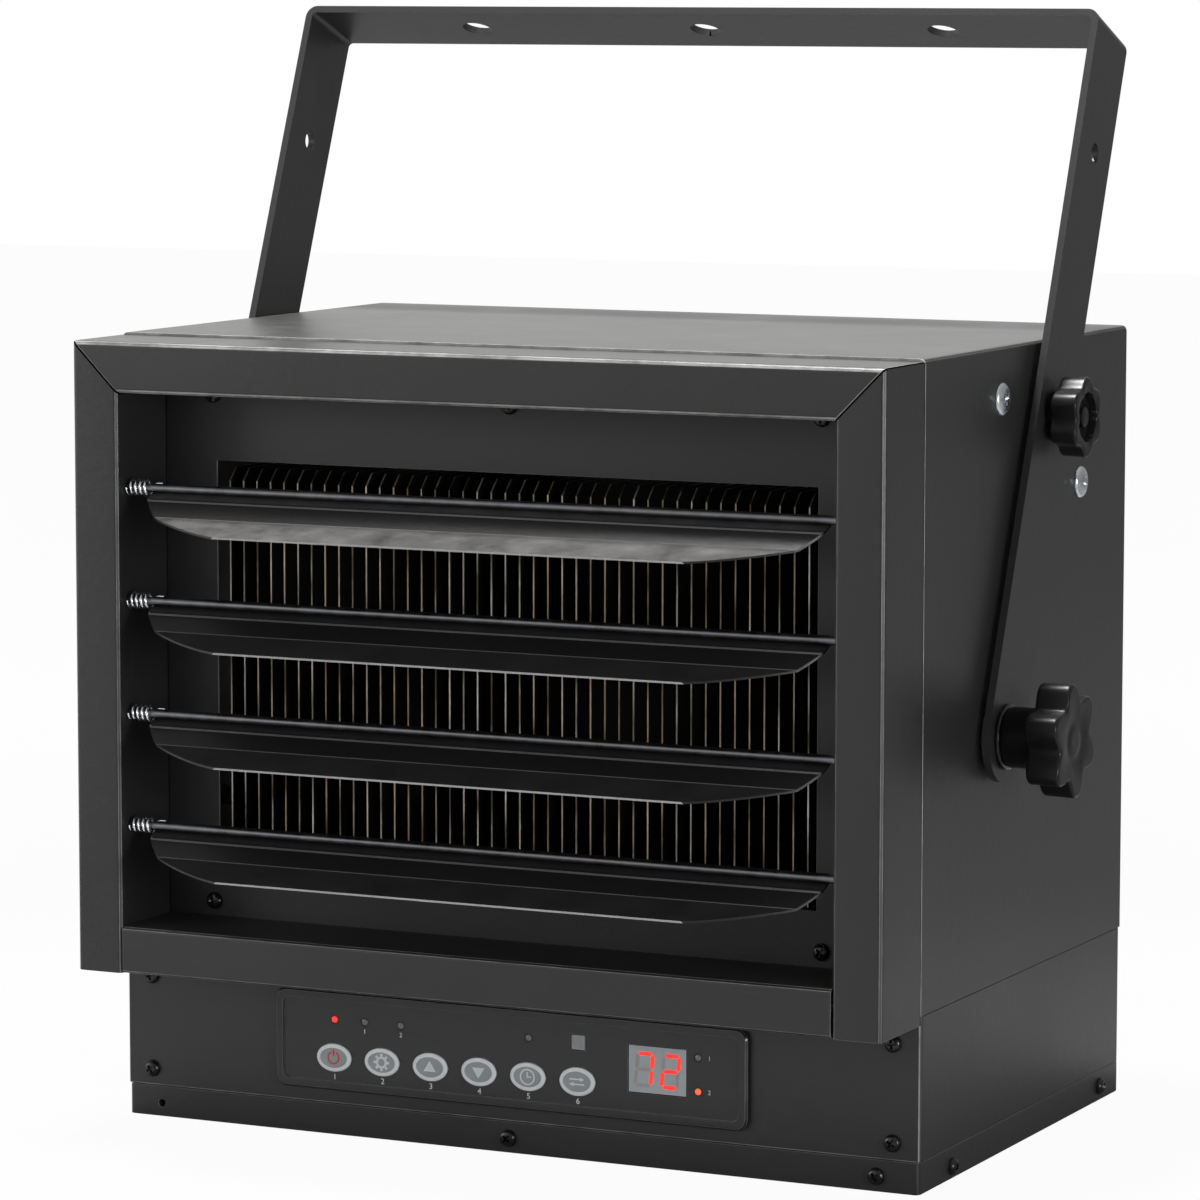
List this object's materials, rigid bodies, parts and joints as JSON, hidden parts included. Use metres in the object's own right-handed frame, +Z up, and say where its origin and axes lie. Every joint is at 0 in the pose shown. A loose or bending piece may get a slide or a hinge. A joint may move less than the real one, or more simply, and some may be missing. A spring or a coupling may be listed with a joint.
{
  "type": "ceiling mounted fan heater",
  "caption": "Sheet steel fan heater with a finned element, adjustable outlet louvres, a keypad control box and a tilting ceiling bracket.",
  "frame": {"origin": "centre of the underside of the base tray", "axes": "+Z up, -Y out of the air outlet, +X to the right of the outlet as the tray sees it"},
  "size_m": [0.4204, 0.2971, 0.4517],
  "materials": {
    "coat": "satin charcoal powder coat",
    "inner_coat": "matt charcoal powder coat",
    "guard": "black coated wire",
    "zinc": "bright zinc plate",
    "fin": "dull plated steel fins",
    "fan_metal": "pressed sheet",
    "motor": "black enamel",
    "knob": "glossy black moulding",
    "fascia": "fine textured dark grey moulding",
    "keys": "grey rubber with a white ring",
    "display": "grey face of a numeric display",
    "lens": "smoked window",
    "circuit": "green circuit board",
    "relay": "black relay case",
    "winding": "laminated core with a taped winding",
    "phenolic": "dark brown moulding"
  },
  "bodies": {
    "cabinet": {"cabinet_wrap": "coat", "rear_panel": "coat", "frame_left_rail": "coat", "frame_right_rail": "coat", "frame_top_rail": "coat", "frame_bottom_rail": "coat", "control_box_shell": "coat", "control_panel": "coat", "base_tray": "coat", "outlet_plate": "inner_coat", "divider_floor": "inner_coat", "rear_guard": "guard", "fascia": "fascia", "display_module": "display", "remote_receiver": "lens", "control_board": "circuit", "power_board": "circuit", "relay_1": "relay", "relay_2": "relay", "board_transformer": "winding", "terminal_block": "phenolic", "contactor": "phenolic", "limit_thermostat": "phenolic", "cable_gland": "zinc", "element_plate_left": "zinc", "element_plate_right": "zinc", "motor_bracket": "zinc", "pivot_spacer_left": "zinc", "pivot_spacer_right": "zinc", "heater_core": "fin", "fan_motor": "motor"},
    "bracket": {"mounting_bracket": "coat"},
    "fan_rotor": {"fan": "fan_metal", "motor_shaft": "zinc"},
    "pivot_washer_left": {"pivot_washer_left": "zinc"},
    "pivot_knob_left": {"pivot_knob_left": "knob"},
    "lock_knob_left": {"lock_knob_left": "knob"},
    "pivot_washer_right": {"pivot_washer_right": "zinc"},
    "pivot_knob_right": {"pivot_knob_right": "knob"},
    "lock_knob_right": {"lock_knob_right": "knob"},
    "louvre_1": {"louvre_blade_1": "coat", "louvre_rod_1": "coat", "louvre_spring_1": "zinc"},
    "louvre_2": {"louvre_blade_2": "coat", "louvre_rod_2": "coat", "louvre_spring_2": "zinc"},
    "louvre_3": {"louvre_blade_3": "coat", "louvre_rod_3": "coat", "louvre_spring_3": "zinc"},
    "louvre_4": {"louvre_blade_4": "coat", "louvre_rod_4": "coat", "louvre_spring_4": "zinc"},
    "key_power": {"key_power": "keys"},
    "key_mode": {"key_mode": "keys"},
    "key_up": {"key_up": "keys"},
    "key_down": {"key_down": "keys"},
    "key_timer": {"key_timer": "keys"},
    "key_units": {"key_units": "keys"}
  },
  "joints": [
    {"name": "bracket_tilt", "type": "hinge", "parent": "cabinet", "child": "bracket", "pos_m": [0, -0.038, 0.169], "axis": [1, 0, 0], "range_deg": [-23.6, 19.2]},
    {"name": "fan_spin", "type": "hinge", "parent": "cabinet", "child": "fan_rotor", "pos_m": [0, 0.086, 0.1955], "axis": [0, 1, 0], "continuous": true},
    {"name": "pivot_washer_left_slide", "type": "slide", "parent": "cabinet", "child": "pivot_washer_left", "axis": [-1, 0, 0], "range_m": [0, 0.0025]},
    {"name": "pivot_knob_left_turn", "type": "hinge", "parent": "pivot_washer_left", "child": "pivot_knob_left", "pos_m": [0, -0.038, 0.169], "axis": [-1, 0, 0], "range_deg": [0, 720]},
    {"name": "lock_knob_left_turn", "type": "hinge", "parent": "bracket", "child": "lock_knob_left", "pos_m": [0, 0.01188, 0.29122], "axis": [-1, 0, 0], "range_deg": [0, 720]},
    {"name": "pivot_washer_right_slide", "type": "slide", "parent": "cabinet", "child": "pivot_washer_right", "axis": [1, 0, 0], "range_m": [0, 0.0025]},
    {"name": "pivot_knob_right_turn", "type": "hinge", "parent": "pivot_washer_right", "child": "pivot_knob_right", "pos_m": [0, -0.038, 0.169], "axis": [1, 0, 0], "range_deg": [0, 720]},
    {"name": "lock_knob_right_turn", "type": "hinge", "parent": "bracket", "child": "lock_knob_right", "pos_m": [0, 0.01188, 0.29122], "axis": [1, 0, 0], "range_deg": [0, 720]},
    {"name": "louvre_1_tilt", "type": "hinge", "parent": "cabinet", "child": "louvre_1", "pos_m": [0, -0.141, 0.262], "axis": [1, 0, 0], "range_deg": [-27, 60]},
    {"name": "louvre_2_tilt", "type": "hinge", "parent": "cabinet", "child": "louvre_2", "pos_m": [0, -0.141, 0.21667], "axis": [1, 0, 0], "range_deg": [-27, 60]},
    {"name": "louvre_3_tilt", "type": "hinge", "parent": "cabinet", "child": "louvre_3", "pos_m": [0, -0.141, 0.17133], "axis": [1, 0, 0], "range_deg": [-27, 60]},
    {"name": "louvre_4_tilt", "type": "hinge", "parent": "cabinet", "child": "louvre_4", "pos_m": [0, -0.141, 0.126], "axis": [1, 0, 0], "range_deg": [-27, 60]},
    {"name": "key_power_press", "type": "slide", "parent": "cabinet", "child": "key_power", "axis": [0, 1, 0], "range_m": [0, 0.0008], "stiffness_N_per_m": 800},
    {"name": "key_mode_press", "type": "slide", "parent": "cabinet", "child": "key_mode", "axis": [0, 1, 0], "range_m": [0, 0.0008], "stiffness_N_per_m": 800},
    {"name": "key_up_press", "type": "slide", "parent": "cabinet", "child": "key_up", "axis": [0, 1, 0], "range_m": [0, 0.0008], "stiffness_N_per_m": 800},
    {"name": "key_down_press", "type": "slide", "parent": "cabinet", "child": "key_down", "axis": [0, 1, 0], "range_m": [0, 0.0008], "stiffness_N_per_m": 800},
    {"name": "key_timer_press", "type": "slide", "parent": "cabinet", "child": "key_timer", "axis": [0, 1, 0], "range_m": [0, 0.0008], "stiffness_N_per_m": 800},
    {"name": "key_units_press", "type": "slide", "parent": "cabinet", "child": "key_units", "axis": [0, 1, 0], "range_m": [0, 0.0008], "stiffness_N_per_m": 800}
  ],
  "couplings": [
    {"joint": "pivot_knob_left_turn", "follows": "pivot_washer_left_slide", "rad_per_m": 5026.5},
    {"joint": "pivot_knob_right_turn", "follows": "pivot_washer_right_slide", "rad_per_m": 5026.5}
  ]
}
